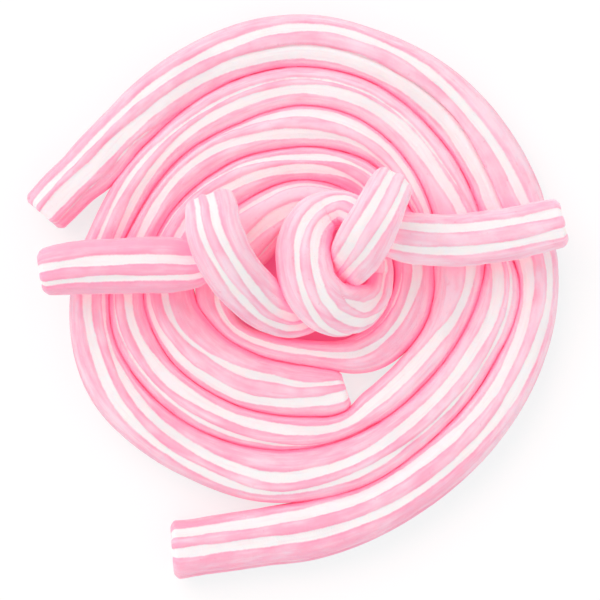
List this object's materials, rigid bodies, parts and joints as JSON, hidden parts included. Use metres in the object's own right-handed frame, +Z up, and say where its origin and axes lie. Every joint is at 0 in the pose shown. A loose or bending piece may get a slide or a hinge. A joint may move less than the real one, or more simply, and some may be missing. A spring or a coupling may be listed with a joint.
{
  "type": "marshmallow rope",
  "caption": "Soft pink and white striped marshmallow rope, coiled flat in a spiral, with another length tied in a loose knot lying on top of it.",
  "frame": {"origin": "centre of the bounding box's underside, on the surface that the coil lies on", "axes": "+Z up from the table, +X towards the knotted rope's right end, +Y away from the coil's long loose tail"},
  "size_m": [0.2146, 0.2242, 0.0614],
  "materials": {
    "marshmallow": "matte, soft and lightly starch dusted, with pink strands between white grooves"
  },
  "bodies": {
    "root": {"outer_rope": "marshmallow", "second_rope": "marshmallow", "inner_rope": "marshmallow", "knot_rope": "marshmallow"}
  },
  "joints": []
}
